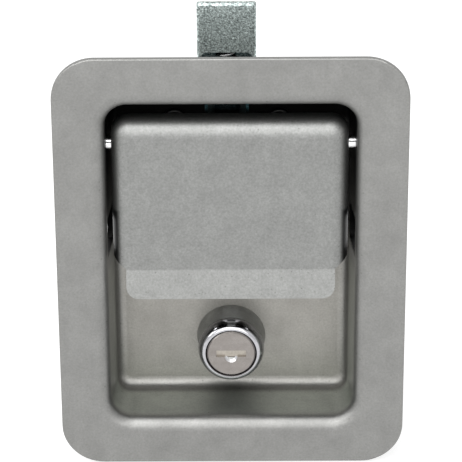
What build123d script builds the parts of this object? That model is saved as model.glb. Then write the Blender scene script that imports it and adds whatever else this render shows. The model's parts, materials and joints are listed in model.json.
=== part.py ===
"""Flush paddle latch: drawn pan, pressed paddle, sprung slam bolt and cam lock.

Frame: X to the right, Y into the panel, Z up, in millimetres. The origin is the middle of the
four weld studs, on the back of the flange. The paddle is closed, the bolt is out, and the cam
points to the right, clear of the hook.
"""
import os
from math import cos, radians, sin, sqrt, tan

from build123d import *

os.makedirs("parts", exist_ok=True)


def at_depth(y):
    """Give the plane that faces the front of the latch at depth y."""
    return Plane.XZ.offset(-y)


# ---------------------------------------------------------------- driving dimensions
# Pan
sheet = 1.9
plate_width = 110.5
plate_height = 140.5
plate_corner = 13.5
plate_edge_round = 0.4
mouth_width = 79.1
mouth_height = 109.5
mouth_drop = 0.2
floor_drop = 1.05
mouth_corner = 7.8
mouth_round = 4.0
recess_depth = 24.5
side_draft = 4.5
end_draft = 2.5
floor_corner = 4.0
floor_round = 3.2
window_gap = 0.25
window_side_gap = 1.0

# Studs
stud_radius = 3.175
stud_length = 19.0
stud_spacing_x = 98.4
stud_spacing_z = 108.0
stud_seat = 0.05
stud_point = 0.8

# Paddle
paddle_side_gap = 2.4
paddle_shift = -0.3
paddle_recess = 2.1
paddle_sheet = 1.9
paddle_corner = 5.6
paddle_round = 5.5
paddle_top_above_pivot = 9.33
top_wall_depth = 7.9
top_notch = 6.4
ear_depth = 11.2
ear_above_pivot = 3.4
ear_below_pivot = 5.5
ear_toe_depth = 6.0
ear_toe_rise = 7.5
ear_toe_step = 2.4
panel_low = -1.7
shoulder = 4.05
corner_cut = 3.2
tab_length = 9.6
tab_flare = 12.0
tab_corner = 4.0
tab_lap = 0.5

# Pivot
pivot_below_mouth = 15.35
pivot_behind_face = 6.8
pin_radius = 2.0
pin_bore = 1.2
pin_slit = 0.5
pin_slit_angle = 25.0
pin_overhang = 0.8
running_gap = 0.06
seat_gap = 0.01
pull_angle = 25.0

# Trip lever
lever_reach = 25.0
lever_tip = 2.2
lever_root = 3.4
lever_hub = 4.7
lever_width = 12.0
lever_sheet = 2.0
lever_gap = 0.25
lever_foot = 12.0
lever_foot_depth = 2.6
lever_neck_depth = 4.1
lever_neck_drop = 1.5
lever_bridge = 8.0

# Bolt
bolt_x = -1.25
bolt_width = 18.7
bolt_reach = 8.45
bolt_low = 24.0
bolt_gap = 0.3
bolt_land = 2.2
bolt_bevel = 45.0
bolt_back_wall = 3.0
bolt_edge = 1.2
nose_edge = 1.0
nose_length = 16.4
pocket_width = 16.4
pocket_corner = 2.0
pocket_gap = 1.0
ledge_ramp = 4.6
bolt_ear = 2.0
bolt_ear_height = 6.0
bolt_ear_depth = 5.0
bolt_ear_forward = 0.5

# Bolt spring and the tab that it stands on
tab_gap = 1.6
spring_tab_width = 9.0
spring_back = 5.0
spring_radius = 3.1
spring_wire = 0.9
spring_turns = 7
spring_seat_gap = 0.05
spring_bore_radius = 4.0
spring_bore_depth = 7.9
guide_radius = 2.1
guide_length = 8.6
guide_point = 0.7
guide_head = 1.2
guide_head_lap = 0.8

# Bolt housing
housing_gap = 0.35
housing_sheet = 1.9
housing_low = 10.0
housing_high = 50.5
housing_bend = 2.6
foot_width = 10.0
foot_corner = 2.5
rivet_radius = 2.0
rivet_head_radius = 3.6
rivet_head = 1.4
rivet_inset = 9.5
ear_slot_gap = 0.4

# Torsion spring
torsion_radius = 3.4
torsion_wire = 1.4
torsion_pitch = 1.6
torsion_start = 13.5
torsion_turns = 4
torsion_floor_lean = 60.0
torsion_paddle_lean = 3.6
torsion_leg = 12.5

# Side slots in the pan
clip_slot_low = 2.1
clip_slot_height = 11.9
clip_slot_front = 3.5
clip_slot_depth = 14.4
clip_slot_corner = 2.0

# Hook on the paddle
hook_width = 12.0
hook_sheet = 2.4
hook_drop = 9.8
hook_foot = 13.2
hook_clear = 1.3
hook_slot_gap = 0.6

# Lock
lock_x = -0.3
lock_z = -36.5
lock_head_radius = 10.2
lock_base_radius = 11.25
lock_protrusion = 13.2
bezel_height = 6.0
bezel_inner_radius = 8.2
bezel_chamfer = 0.3
bezel_round = 1.5
shank_radius = 9.5
shank_flat = 16.0
shank_length = 10.0
plug_radius = 6.4
plug_gap = 0.05
plug_head_radius = 7.9
cap_thickness = 0.8
cap_chamfer = 0.4
key_slot_width = 9.7
key_slot_height = 2.3
dimple_radius = 2.1
dimple_drop = 1.1
shutter_thickness = 0.5
shutter_pin_radius = 0.35
shutter_lap = 0.3
shutter_pin_rise = 0.8
shutter_swing_gap = 0.5
shutter_hinge_lap = 1.1
wafer_count = 5
wafer_pitch = 2.5
wafer_thickness = 0.8
wafer_clear = 0.1
wafer_height = 5.0
wafer_travel = 0.8
wafer_gap = 0.075
wafer_ear_x = 3.4
wafer_ear_length = 1.2
wafer_ear_height = 0.9
wafer_spring_start = 0.6
wafer_spring_radius = 0.4
first_wafer_gap = 1.4
groove_gap = 0.3
key_blade_width = 8.8
key_blade_height = 2.4
keyway_gap = 0.1
shutter_bay_rise = 0.6
shutter_bay_extra = 2.2
tail_square = 7.0
washer_thickness = 1.0
washer_rim = 3.6
washer_bore_gap = 0.4
washer_teeth = 14
washer_notch_depth = 2.4
washer_notch_width = 1.3
nut_across_flats = 25.4
nut_corner = 0.9
nut_thickness = 4.5
cam_thickness = 2.4
cam_hub_radius = 8.5
cam_tip_radius = 5.0
cam_clear = 2.0
cam_seat = 0.05
screw_radius = 2.5
screw_head_flats = 8.0
screw_head = 2.5
screw_bore_end = 1.0
screw_end_gap = 0.5
cam_washer_rim = 0.4
cam_washer_gap = 0.2
cam_washer_slit = 0.6
cam_washer_twist = 20.0
stop_lug_angle = 24.0
stop_lug_inset = 0.2
stop_lug_wall = 1.9
stop_gap = 0.3
stop_margin = 1.0
key_turn = 90.0

# ---------------------------------------------------------------- worked-out places
floor_y = recess_depth - sheet
floor_back = floor_y + sheet
side_slope = tan(radians(side_draft))
end_slope = tan(radians(end_draft))
floor_width = mouth_width - 2 * recess_depth * side_slope
floor_height = mouth_height - 2 * recess_depth * end_slope

paddle_front = paddle_recess - sheet
paddle_back = paddle_front + paddle_sheet
paddle_width = mouth_width - 2 * paddle_side_gap
tab_width = paddle_width - 2 * shoulder
pivot_y = paddle_front + pivot_behind_face
pivot_z = mouth_height / 2 - mouth_drop - pivot_below_mouth
paddle_top = pivot_z + paddle_top_above_pivot

tip_y = pivot_y + lever_reach * cos(radians(pull_angle / 2))
tip_z = pivot_z + lever_reach * sin(radians(pull_angle / 2))

bolt_front = floor_back + bolt_gap
pocket_back = pivot_y + lever_reach + lever_tip + pocket_gap
bolt_rear = pocket_back + bolt_back_wall
bolt_tip = plate_height / 2 + bolt_reach
pocket_top = bolt_tip - nose_length
ear_y = (bolt_front + bolt_rear) / 2 - bolt_ear_forward
ledge_top = tip_z - lever_tip - lever_gap
spring_seat = tip_z + lever_tip + tab_gap + sheet
spring_y = bolt_front + spring_back
spring_tab_end = spring_y + spring_tab_width / 2
spring_end = pocket_top + spring_bore_depth

channel_width = bolt_width + 2 * housing_gap
channel_back = bolt_rear + housing_gap
housing_width = channel_width + 2 * housing_sheet
rivet_x = housing_width / 2 + foot_width / 2
rivet_rows = (housing_low + rivet_inset, housing_high - rivet_inset)

hook_top = panel_low
hook_web_low = hook_top - hook_sheet

lock_face = floor_y - lock_protrusion
bezel_back = lock_face + bezel_height
cap_back = lock_face + cap_thickness
shank_end = floor_y + shank_length
stop_back = shank_end + cam_seat + washer_thickness
cam_front = stop_back + cam_seat
cam_back = cam_front + cam_thickness
cam_reach = hook_web_low - cam_clear - lock_z
hook_end_y = cam_back + hook_clear
shutter_y = cap_back + cam_seat
shutter_pin_y = shutter_y + shutter_thickness
shutter_pin_z = key_slot_height / 2 + shutter_pin_rise
shutter_length = shutter_pin_z + key_slot_height / 2 + shutter_lap
shutter_room = shutter_pin_y + shutter_length + shutter_swing_gap
first_wafer = shutter_room + first_wafer_gap
last_wafer = first_wafer + wafer_pitch * (wafer_count - 1)
wafer_spring_z = lock_z + (wafer_height + wafer_ear_height) / 2

# ---------------------------------------------------------------- pan
with BuildPart() as pan:
    with BuildSketch(at_depth(0)):
        RectangleRounded(plate_width, plate_height, plate_corner)
    extrude(amount=sheet)
    fillet(pan.faces().sort_by(Axis.Y)[0].edges(), plate_edge_round)

    # Drawn cup: the outer skin is one sheet outside the inner one at every depth.
    spread = 2 * sheet * (1 - side_slope)
    end_spread = 2 * sheet * (1 - end_slope)
    with BuildSketch(at_depth(0)):
        with Locations((0, -mouth_drop)):
            RectangleRounded(mouth_width + spread, mouth_height + end_spread, mouth_corner + sheet)
    with BuildSketch(at_depth(floor_back)):
        with Locations((0, -floor_drop)):
            RectangleRounded(floor_width + spread, floor_height + end_spread, floor_corner + sheet)
    loft()
    cup_root = pan.faces().filter_by(Axis.Y).group_by(Axis.Y)[1].sort_by(SortBy.AREA)[-1].inner_wires()[0]
    fillet(cup_root.edges(), mouth_round - sheet)
    fillet(pan.faces().sort_by(Axis.Y)[-1].edges(), floor_round + sheet)

    with BuildSketch(at_depth(-sheet)):
        with Locations((0, -mouth_drop)):
            RectangleRounded(mouth_width, mouth_height, mouth_corner)
    with BuildSketch(at_depth(floor_y)):
        with Locations((0, -floor_drop)):
            RectangleRounded(floor_width, floor_height, floor_corner)
    loft(mode=Mode.SUBTRACT)
    mouth = pan.faces().sort_by(Axis.Y)[0].inner_wires()[0]
    fillet(mouth.edges(), mouth_round)
    cup_floor = pan.faces().filter_by(Axis.Y).group_by(Axis.Y)[2].sort_by(SortBy.AREA)[-1]
    fillet(cup_floor.edges(), floor_round)

    # Window for the lever, with its top edge turned back as the tab that the bolt spring stands on.
    lever_dip = (floor_back - pivot_y) * tan(radians(pull_angle / 2))
    window_low = pivot_z - lever_dip - lever_root - window_gap
    window_high = spring_seat - sheet
    with BuildSketch(at_depth(floor_y)):
        with Locations((bolt_x, (window_low + window_high) / 2)):
            Rectangle(lever_width + 2 * window_side_gap, window_high - window_low)
    extrude(amount=-sheet, mode=Mode.SUBTRACT)
    with BuildSketch(Plane.XY.offset(window_high)):
        with Locations((bolt_x, (floor_y + spring_tab_end) / 2)):
            Rectangle(spring_tab_width, spring_tab_end - floor_y)
    extrude(amount=sheet)
    with BuildSketch(Plane.XY.offset(window_high)):
        with Locations((bolt_x, spring_y)):
            Circle(guide_radius)
    extrude(amount=sheet, mode=Mode.SUBTRACT)

    # Slot that the hook swings through.
    hook_dip = sqrt((hook_end_y + hook_sheet - pivot_y) ** 2 + (hook_top - hook_drop - pivot_z) ** 2)
    hook_slot_low = pivot_z - hook_dip - hook_slot_gap
    hook_slot_high = hook_top + hook_slot_gap
    with BuildSketch(at_depth(floor_y)):
        with Locations((0, (hook_slot_low + hook_slot_high) / 2)):
            Rectangle(hook_width + 2 * hook_slot_gap, hook_slot_high - hook_slot_low)
    extrude(amount=-sheet, mode=Mode.SUBTRACT)

    # A slot in each side wall, for mounting clips.
    with BuildSketch(Plane.YZ):
        with Locations((clip_slot_front + clip_slot_depth / 2, clip_slot_low + clip_slot_height / 2)):
            RectangleRounded(clip_slot_depth, clip_slot_height, clip_slot_corner)
    extrude(amount=plate_width / 2, both=True, mode=Mode.SUBTRACT)

    # Holes for the pivot pin, the lock, the rivets and the studs.
    with BuildSketch(Plane.YZ):
        with Locations((pivot_y, pivot_z)):
            Circle(pin_radius + seat_gap)
    extrude(amount=plate_width / 2, both=True, mode=Mode.SUBTRACT)
    with BuildSketch(at_depth(floor_y)):
        with Locations((lock_x, lock_z)):
            Circle(shank_radius + plug_gap)
            Rectangle(shank_flat + 2 * plug_gap, 2 * lock_head_radius, mode=Mode.INTERSECT)
        with Locations([(bolt_x + side * rivet_x, row) for side in (-1, 1) for row in rivet_rows]):
            Circle(rivet_radius + seat_gap)
    extrude(amount=-sheet, mode=Mode.SUBTRACT)
    with BuildSketch(at_depth(0)):
        with GridLocations(stud_spacing_x, stud_spacing_z, 2, 2):
            Circle(stud_radius)
    extrude(amount=stud_seat, mode=Mode.SUBTRACT)

pan.part.label = "pan"
export_step(pan.part, "parts/pan.step")

# ---------------------------------------------------------------- weld studs
with BuildPart() as panel_studs:
    with BuildSketch(at_depth(-stud_seat)):
        with GridLocations(stud_spacing_x, stud_spacing_z, 2, 2):
            Circle(stud_radius)
    extrude(amount=-(stud_length + stud_seat))
    chamfer(panel_studs.faces().group_by(Axis.Y)[-1].edges(), stud_point)

panel_studs.part.label = "panel_studs"
export_step(panel_studs.part, "parts/panel_studs.step")

# ---------------------------------------------------------------- paddle
with BuildPart() as paddle:
    with BuildSketch(at_depth(paddle_front)):
        with Locations((paddle_shift, (paddle_top + panel_low) / 2)):
            Rectangle(paddle_width, paddle_top - panel_low)
    extrude(amount=-ear_depth)
    fillet(paddle.edges().filter_by(Axis.Y).group_by(Axis.Z)[-1], paddle_corner)
    rim = paddle.faces().sort_by(Axis.Y)[0].edges().group_by(Axis.Z)
    fillet([edge for level in rim[1:] for edge in level], paddle_round)
    open_faces = [paddle.faces().sort_by(Axis.Y)[-1], paddle.faces().sort_by(Axis.Z)[0]]
    offset(amount=-paddle_sheet, openings=open_faces, kind=Kind.INTERSECTION)

    # Side view: a short top wall, deep ears round the pivot, and walls that taper to the toe.
    with BuildSketch(Plane.YZ):
        with BuildLine():
            Polyline(
                (paddle_front, paddle_top),
                (paddle_front + top_wall_depth, paddle_top),
                (paddle_front + top_wall_depth, pivot_z + top_notch),
                (paddle_front + ear_depth, pivot_z + ear_above_pivot),
                (paddle_front + ear_depth, pivot_z - ear_below_pivot),
                (paddle_front + ear_toe_depth, panel_low + ear_toe_rise),
                (paddle_front + ear_toe_depth - ear_toe_step, panel_low),
                (paddle_front, panel_low),
                close=True,
            )
        make_face()
    extrude(amount=paddle_width, both=True, mode=Mode.INTERSECT)

    # The lower corners are cut off where the walls stop.
    with BuildSketch(at_depth(paddle_front)):
        for side in (-1, 1):
            edge_x = paddle_shift + side * paddle_width / 2
            with BuildLine():
                Polyline(
                    (edge_x, panel_low),
                    (edge_x - side * shoulder, panel_low),
                    (edge_x, panel_low + corner_cut),
                    close=True,
                )
            make_face()
    extrude(amount=-ear_depth, mode=Mode.SUBTRACT)

    # Finger tab, flared forwards from the bend line.
    drop = (-sin(radians(tab_flare)), -cos(radians(tab_flare)))
    across = (cos(radians(tab_flare)), -sin(radians(tab_flare)))
    tab_end = (paddle_front + tab_length * drop[0], panel_low + tab_length * drop[1])
    with BuildSketch(Plane.YZ.offset(paddle_shift)):
        with BuildLine():
            Polyline(
                (paddle_front, panel_low + tab_lap),
                (paddle_front, panel_low),
                tab_end,
                (tab_end[0] + paddle_sheet * across[0], tab_end[1] + paddle_sheet * across[1]),
                (paddle_back, panel_low - paddle_sheet * tan(radians(tab_flare / 2))),
                (paddle_back, panel_low + tab_lap),
                close=True,
            )
        make_face()
    extrude(amount=tab_width / 2, both=True)
    tab_corners = paddle.edges().filter_by(lambda edge: abs(edge.length - paddle_sheet) < 0.01)
    fillet(tab_corners.group_by(Axis.Z)[0], tab_corner)

    with BuildSketch(Plane.YZ):
        with Locations((pivot_y, pivot_z)):
            Circle(pin_radius + running_gap)
    extrude(amount=paddle_width, both=True, mode=Mode.SUBTRACT)

paddle.part.label = "paddle"
export_step(paddle.part, "parts/paddle.step")

# ---------------------------------------------------------------- trip lever
with BuildPart() as trip_lever:
    for side in (-1, 1):
        with BuildSketch(Plane.YZ.offset(bolt_x + side * lever_width / 2)):
            with Locations((pivot_y, pivot_z)):
                Circle(lever_root)
            with Locations((tip_y, tip_z)):
                Circle(lever_tip)
            make_hull()
            with Locations((pivot_y, pivot_z)):
                Circle(lever_hub)
            with BuildLine():
                Polyline(
                    (paddle_back, pivot_z - lever_foot),
                    (paddle_back, pivot_z + lever_root),
                    (pivot_y, pivot_z + lever_root),
                    (pivot_y + lever_neck_depth, pivot_z - lever_neck_drop),
                    (paddle_back + lever_foot_depth, pivot_z - lever_foot),
                    close=True,
                )
            make_face()
            with Locations((pivot_y, pivot_z)):
                Circle(pin_radius + running_gap, mode=Mode.SUBTRACT)
        extrude(amount=-side * lever_sheet)
    with BuildSketch(at_depth(paddle_back)):
        with Locations((bolt_x, pivot_z - lever_bridge)):
            Rectangle(lever_width, lever_bridge)
    extrude(amount=-lever_sheet)

trip_lever.part.label = "trip_lever"
export_step(trip_lever.part, "parts/trip_lever.step")

# ---------------------------------------------------------------- lock hook
with BuildPart() as lock_hook:
    with BuildSketch(Plane.YZ):
        with BuildLine():
            Polyline(
                (paddle_back, hook_web_low),
                (hook_end_y, hook_web_low),
                (hook_end_y, hook_top - hook_drop),
                (hook_end_y + hook_sheet, hook_top - hook_drop),
                (hook_end_y + hook_sheet, hook_top),
                (paddle_back + hook_sheet, hook_top),
                (paddle_back + hook_sheet, hook_top + hook_foot),
                (paddle_back, hook_top + hook_foot),
                close=True,
            )
        make_face()
    extrude(amount=hook_width / 2, both=True)

lock_hook.part.label = "lock_hook"
export_step(lock_hook.part, "parts/lock_hook.step")

# ---------------------------------------------------------------- pivot pin
pin_wall_x = mouth_width / 2 - (pivot_y + sheet) * side_slope + sheet
slit_y = pivot_y - pin_radius * cos(radians(pin_slit_angle))
slit_z = pivot_z + pin_radius * sin(radians(pin_slit_angle))
with BuildPart() as pivot_pin:
    with BuildSketch(Plane.YZ):
        with Locations((pivot_y, pivot_z)):
            Circle(pin_radius)
            Circle(pin_bore, mode=Mode.SUBTRACT)
        with Locations((slit_y, slit_z)):
            Rectangle(pin_radius, pin_slit, rotation=-pin_slit_angle, mode=Mode.SUBTRACT)
    extrude(amount=pin_wall_x + pin_overhang, both=True)

pivot_pin.part.label = "pivot_pin"
export_step(pivot_pin.part, "parts/pivot_pin.step")

# ---------------------------------------------------------------- torsion spring
# The blank is wound about Z from +X, then laid along the pivot pin.
lean = radians(torsion_floor_lean)
coil_turns = torsion_turns + (180 - torsion_floor_lean - torsion_paddle_lean) / 360
coil_start = Plane(
    origin=(torsion_start, pivot_y, pivot_z), x_dir=(0, cos(lean), sin(lean)), z_dir=(1, 0, 0)
)
floor_leg_room = floor_y - torsion_wire / 2 - lever_gap - pivot_y - torsion_radius * cos(lean)
with BuildPart() as spring_blank:
    with BuildLine():
        coil = Helix(torsion_pitch, torsion_pitch * coil_turns, torsion_radius)
    with BuildSketch(Plane(origin=coil @ 0, z_dir=coil % 0)):
        Circle(torsion_wire / 2)
    sweep(path=coil, is_frenet=True)
    with BuildSketch(Plane(origin=coil @ 0, z_dir=-(coil % 0))):
        Circle(torsion_wire / 2)
    extrude(amount=floor_leg_room / sin(lean))
    with BuildSketch(Plane(origin=coil @ 1, z_dir=coil % 1)):
        Circle(torsion_wire / 2)
    extrude(amount=torsion_leg)

with BuildPart() as paddle_spring:
    with Locations(coil_start):
        add(spring_blank.part)

paddle_spring.part.label = "paddle_spring"
export_step(paddle_spring.part, "parts/paddle_spring.step")

# ---------------------------------------------------------------- bolt
with BuildPart() as bolt:
    with BuildSketch(Plane.XY.offset(bolt_low)):
        with Locations((bolt_x, (bolt_front + bolt_rear) / 2)):
            RectangleRounded(bolt_width, bolt_rear - bolt_front, bolt_edge)
    extrude(amount=bolt_tip - bolt_low)

    # Slam bevel on the rear, behind the flat land of the nose.
    land_end = bolt_front + bolt_land
    bevel_drop = (bolt_rear - land_end) * tan(radians(bolt_bevel))
    with BuildSketch(Plane.YZ.offset(bolt_x)):
        with BuildLine():
            Polyline(
                (land_end, bolt_tip),
                (bolt_rear, bolt_tip - bevel_drop),
                (bolt_rear, bolt_tip),
                close=True,
            )
        make_face()
    extrude(amount=bolt_width, both=True, mode=Mode.SUBTRACT)
    fillet(bolt.faces().sort_by(Axis.Z)[-1].edges(), nose_edge)

    # Pocket for the lever's tips: a flat ledge at the back and a ramp at the front.
    with BuildSketch(Plane.YZ.offset(bolt_x)):
        with BuildLine():
            Polyline(
                (bolt_front, ledge_top - ledge_ramp),
                (tip_y, ledge_top),
                (pocket_back, ledge_top),
                (pocket_back, pocket_top),
                (bolt_front, pocket_top),
                close=True,
            )
        make_face()
    extrude(amount=pocket_width / 2, both=True, mode=Mode.SUBTRACT)
    roof = bolt.faces().filter_by_position(Axis.Z, pocket_top - 0.01, pocket_top + 0.01)
    fillet(roof.edges().filter_by(Axis.Y), pocket_corner)

    # Bore for the top of the spring.
    with BuildSketch(Plane.XY.offset(pocket_top)):
        with Locations((bolt_x, spring_y)):
            Circle(spring_bore_radius)
    extrude(amount=spring_bore_depth, mode=Mode.SUBTRACT)

    # Ears that stop the bolt at the top of the slots in the housing.
    with BuildSketch(Plane.XY.offset(bolt_low)):
        with Locations((bolt_x, ear_y)):
            Rectangle(bolt_width + 2 * bolt_ear, bolt_ear_depth)
    extrude(amount=bolt_ear_height)

bolt.part.label = "bolt"
export_step(bolt.part, "parts/bolt.step")

# ---------------------------------------------------------------- bolt spring
with BuildPart() as bolt_spring:
    spring_height = spring_end - spring_seat - spring_wire - 2 * spring_seat_gap
    with BuildLine(Plane((bolt_x, spring_y, spring_seat + spring_wire / 2 + spring_seat_gap))):
        spring_coil = Helix(spring_height / spring_turns, spring_height, spring_radius)
    with BuildSketch(Plane(origin=spring_coil @ 0, z_dir=spring_coil % 0)):
        Circle(spring_wire / 2)
    sweep(path=spring_coil, is_frenet=True)

bolt_spring.part.label = "bolt_spring"
export_step(bolt_spring.part, "parts/bolt_spring.step")

# ---------------------------------------------------------------- spring guide
with BuildPart() as spring_guide:
    with BuildSketch(Plane.XY.offset(spring_seat - sheet)):
        with Locations((bolt_x, spring_y)):
            Circle(guide_radius - seat_gap)
    extrude(amount=sheet + guide_length)
    chamfer(spring_guide.faces().sort_by(Axis.Z)[-1].edges(), guide_point)
    with BuildSketch(Plane.XY.offset(spring_seat - sheet)):
        with Locations((bolt_x, spring_y)):
            Circle(guide_radius + guide_head_lap)
    extrude(amount=-guide_head)
    fillet(spring_guide.faces().sort_by(Axis.Z)[0].edges(), guide_head / 2)

spring_guide.part.label = "spring_guide"
export_step(spring_guide.part, "parts/spring_guide.step")

# ---------------------------------------------------------------- bolt housing
with BuildPart() as bolt_housing:
    with BuildSketch(Plane.XY.offset(housing_low)):
        with Locations((bolt_x, (floor_back + channel_back + housing_sheet) / 2)):
            Rectangle(housing_width, channel_back + housing_sheet - floor_back)
        with Locations((bolt_x, floor_back + housing_sheet / 2)):
            Rectangle(housing_width + 2 * foot_width, housing_sheet)
        with Locations((bolt_x, (floor_back + channel_back) / 2)):
            Rectangle(channel_width, channel_back - floor_back, mode=Mode.SUBTRACT)
    extrude(amount=housing_high - housing_low)
    upright = bolt_housing.edges().filter_by(Axis.Z)
    fillet(upright.group_by(Axis.Y)[-1], housing_bend)
    fillet(upright.group_by(Axis.Y)[-2], housing_bend - housing_sheet)

    # Slots, open at the bottom, for the bolt's ears.
    ear_slot_top = bolt_low + bolt_ear_height + ear_slot_gap
    with BuildSketch(Plane.XY.offset(housing_low)):
        with Locations((bolt_x, ear_y)):
            Rectangle(housing_width, bolt_ear_depth + 2 * ear_slot_gap)
    extrude(amount=ear_slot_top - housing_low, mode=Mode.SUBTRACT)
    with BuildSketch(at_depth(floor_back)):
        with Locations([(bolt_x + side * rivet_x, row) for side in (-1, 1) for row in rivet_rows]):
            Circle(rivet_radius + seat_gap)
    extrude(amount=-housing_sheet, mode=Mode.SUBTRACT)
    feet = bolt_housing.edges().filter_by(Axis.Y).filter_by_position(Axis.Y, floor_back, floor_back + housing_sheet)
    corners = feet.filter_by(lambda edge: abs(edge.center().X - bolt_x) > housing_width / 2 + foot_width / 2)
    fillet(corners, foot_corner)

bolt_housing.part.label = "bolt_housing"
export_step(bolt_housing.part, "parts/bolt_housing.step")

# ---------------------------------------------------------------- rivets
with BuildPart() as housing_rivets:
    rivet_places = [(bolt_x + side * rivet_x, row) for side in (-1, 1) for row in rivet_rows]
    with BuildSketch(at_depth(floor_y)):
        with Locations(rivet_places):
            Circle(rivet_radius)
    extrude(amount=-(sheet + housing_sheet))
    for face_y, direction in ((floor_y, 1), (floor_back + housing_sheet, -1)):
        with BuildSketch(at_depth(face_y)):
            with Locations(rivet_places):
                Circle(rivet_head_radius)
        extrude(amount=direction * rivet_head)
    fillet(housing_rivets.faces().group_by(Axis.Y)[0].edges(), rivet_head * 0.8)
    fillet(housing_rivets.faces().group_by(Axis.Y)[-1].edges(), rivet_head * 0.8)

housing_rivets.part.label = "housing_rivets"
export_step(housing_rivets.part, "parts/housing_rivets.step")

# ---------------------------------------------------------------- lock body
with BuildPart() as lock_body:
    with BuildSketch(at_depth(floor_y)):
        with Locations((lock_x, lock_z)):
            Circle(lock_base_radius)
    with BuildSketch(at_depth(bezel_back)):
        with Locations((lock_x, lock_z)):
            Circle(lock_head_radius)
    loft()
    with BuildSketch(at_depth(floor_y)):
        with Locations((lock_x, lock_z)):
            Circle(shank_radius)
            Rectangle(shank_flat, 2 * lock_head_radius, mode=Mode.INTERSECT)
    extrude(amount=-shank_length)
    with BuildSketch(at_depth(bezel_back)):
        with Locations((lock_x, lock_z)):
            Circle(plug_radius + plug_gap)
    extrude(amount=-(shank_end - bezel_back), mode=Mode.SUBTRACT)

    # Grooves that the wafers spring into, a quarter turn apart.
    groove = 2 * (plug_radius - wafer_clear + wafer_travel + groove_gap)
    with BuildSketch(at_depth(first_wafer - wafer_thickness)):
        with Locations((lock_x, lock_z)):
            Rectangle(groove, wafer_height + 2 * groove_gap)
            Rectangle(wafer_height + 2 * groove_gap, groove)
    extrude(amount=-(wafer_pitch * (wafer_count - 1) + 2 * wafer_thickness), mode=Mode.SUBTRACT)

    # Lug that the stop washer's notch runs against.
    lug_outer = shank_radius - stop_lug_inset
    lug_inner = lug_outer - stop_lug_wall
    with BuildSketch(Plane(at_depth(shank_end).location * Location((lock_x, lock_z)))):
        Circle(lug_outer)
        Circle(lug_inner, mode=Mode.SUBTRACT)
        half = radians(stop_lug_angle / 2)
        with BuildLine():
            Polyline(
                (0, 0),
                (-2 * lug_outer * sin(half), -2 * lug_outer * cos(half)),
                (2 * lug_outer * sin(half), -2 * lug_outer * cos(half)),
                close=True,
            )
        make_face(mode=Mode.INTERSECT)
    extrude(amount=-washer_thickness)

lock_body.part.label = "lock_body"
export_step(lock_body.part, "parts/lock_body.step")

# ---------------------------------------------------------------- bezel
with BuildPart() as lock_bezel:
    with BuildSketch(at_depth(lock_face)):
        with Locations((lock_x, lock_z)):
            Circle(lock_head_radius)
            Circle(bezel_inner_radius, mode=Mode.SUBTRACT)
    extrude(amount=-bezel_height)
    front_rims = lock_bezel.faces().sort_by(Axis.Y)[0].edges().sort_by(SortBy.LENGTH)
    chamfer(front_rims[0], bezel_chamfer)
    fillet(front_rims[-1], bezel_round)

lock_bezel.part.label = "lock_bezel"
export_step(lock_bezel.part, "parts/lock_bezel.step")

# ---------------------------------------------------------------- plug
with BuildPart() as lock_plug:
    with BuildSketch(at_depth(cap_back)):
        with Locations((lock_x, lock_z)):
            Circle(plug_head_radius)
    extrude(amount=-(bezel_back - plug_gap - cap_back))
    with BuildSketch(at_depth(bezel_back - plug_gap)):
        with Locations((lock_x, lock_z)):
            Circle(plug_radius)
    extrude(amount=-(shank_end - bezel_back + plug_gap))
    with BuildSketch(at_depth(shank_end)):
        with Locations((lock_x, lock_z)):
            Rectangle(tail_square, tail_square)
    extrude(amount=-(cam_back - cam_seat - shank_end))

    # Keyway, and the room behind the face that the flap swings into.
    with BuildSketch(at_depth(cap_back)):
        with Locations((lock_x, lock_z)):
            Rectangle(key_blade_width + 2 * keyway_gap, key_blade_height)
    extrude(amount=-(last_wafer + wafer_thickness - cap_back), mode=Mode.SUBTRACT)
    with BuildSketch(at_depth(cap_back)):
        with Locations((lock_x, lock_z + shutter_bay_rise)):
            Rectangle(key_slot_width + 4 * shutter_lap, key_slot_height + shutter_bay_extra)
    extrude(amount=-(shutter_room - cap_back), mode=Mode.SUBTRACT)
    with BuildSketch(Plane.YZ.offset(lock_x)):
        with Locations((shutter_pin_y, lock_z + shutter_pin_z)):
            Circle(shutter_pin_radius + seat_gap)
    extrude(amount=key_slot_width / 2 + shutter_hinge_lap, both=True, mode=Mode.SUBTRACT)

    # Wafer slots, each with an ear slot and a blind hole for its spring.
    for number in range(wafer_count):
        wafer_y = first_wafer + number * wafer_pitch
        front = wafer_y - wafer_thickness / 2 - wafer_gap
        with BuildSketch(at_depth(front)):
            with Locations((lock_x, lock_z)):
                Rectangle(3 * plug_radius, wafer_height + 2 * wafer_gap)
            with Locations((lock_x + wafer_ear_x - wafer_clear, lock_z + wafer_height / 2 - wafer_gap)):
                Rectangle(plug_radius, wafer_ear_height + 2 * wafer_gap, align=(Align.MIN, Align.MIN))
        extrude(amount=-(wafer_thickness + 2 * wafer_gap), mode=Mode.SUBTRACT)
        with BuildSketch(Plane.YZ.offset(lock_x + wafer_spring_start)):
            with Locations((wafer_y, wafer_spring_z)):
                Circle(wafer_spring_radius + plug_gap)
        extrude(amount=wafer_ear_x - wafer_spring_start, mode=Mode.SUBTRACT)

    with BuildSketch(at_depth(cam_back)):
        with Locations((lock_x, lock_z)):
            Circle(screw_radius)
    extrude(amount=cam_back - last_wafer - wafer_thickness - screw_bore_end, mode=Mode.SUBTRACT)

lock_plug.part.label = "lock_plug"
export_step(lock_plug.part, "parts/lock_plug.step")

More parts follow.
